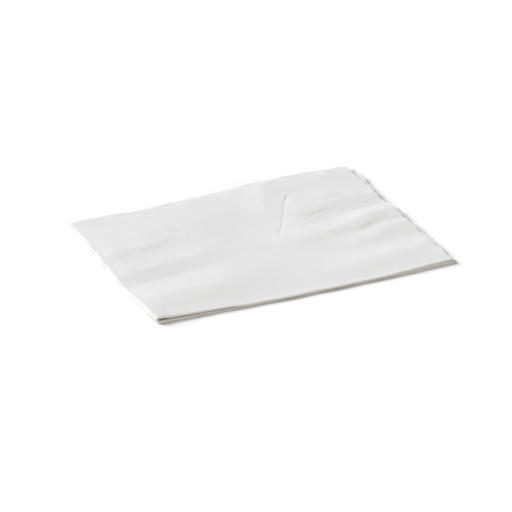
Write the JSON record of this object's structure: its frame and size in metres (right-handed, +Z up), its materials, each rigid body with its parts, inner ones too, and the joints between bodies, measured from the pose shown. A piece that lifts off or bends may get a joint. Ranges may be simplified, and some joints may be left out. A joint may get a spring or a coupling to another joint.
{
  "type": "paper napkin",
  "caption": "Square white tissue napkin folded flat into quarters, rounded along its folds and open along its other edges, for wiping hands and mouth at table.",
  "frame": {"origin": "middle of the folded napkin's box, on its underside, where it rests on the table", "axes": "+Z up through the leaves; the folds lie along -Y at the front and -X at the left; the leaves are open towards +X and +Y"},
  "size_m": [0.1656, 0.1656, 0.0042],
  "materials": {
    "tissue": "matte"
  },
  "bodies": {
    "root": {"napkin": "tissue"}
  },
  "joints": []
}
